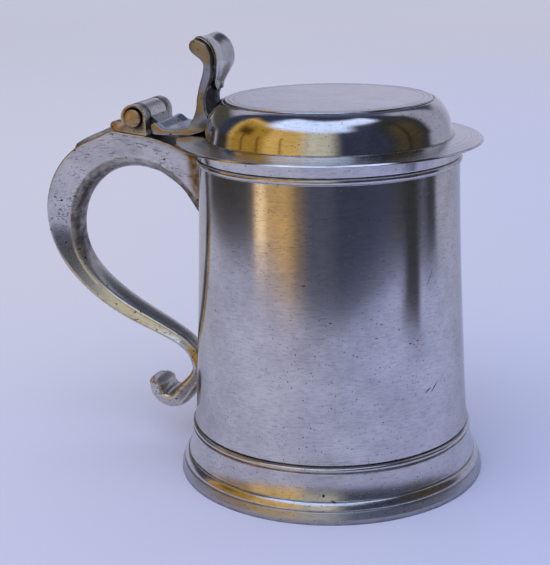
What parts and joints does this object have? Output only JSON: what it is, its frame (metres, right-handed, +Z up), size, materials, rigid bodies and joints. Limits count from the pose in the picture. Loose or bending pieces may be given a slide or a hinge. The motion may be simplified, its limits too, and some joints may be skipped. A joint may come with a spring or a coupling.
{
  "type": "lidded tankard",
  "caption": "Pewter tankard with a tapering drum, a moulded foot, a scroll handle and a flat-topped domed lid that swings on a hinge pin and is raised by a thumbpiece.",
  "frame": {"origin": "on the plane that the foot stands on, below the middle of the whole tankard seen from above", "axes": "+Z up along the drum, -X towards the handle, Y along the hinge pin"},
  "size_m": [0.1872, 0.127, 0.1791],
  "materials": {
    "turned_pewter": "pewter, turned on a lathe and polished, with fine turning lines round the drum",
    "cast_pewter": "cast pewter, hand finished, dull and pitted with age",
    "floor_pewter": "pewter, turned, dull grey with age",
    "hinge_brass": "drawn brass, tarnished"
  },
  "bodies": {
    "vessel": {"drum": "turned_pewter", "base_moulding": "turned_pewter", "bottom_disc": "floor_pewter", "handle": "cast_pewter", "hinge_lug_near": "cast_pewter", "hinge_lug_far": "cast_pewter", "hinge_pin": "hinge_brass"},
    "lid": {"lid": "turned_pewter", "lid_bezel": "floor_pewter", "thumbpiece": "cast_pewter"}
  },
  "joints": [
    {"name": "lid_hinge", "type": "hinge", "parent": "vessel", "child": "lid", "pos_m": [-0.04895, 0, 0.1458], "axis": [0, -1, 0], "range_deg": [0, 155]}
  ]
}
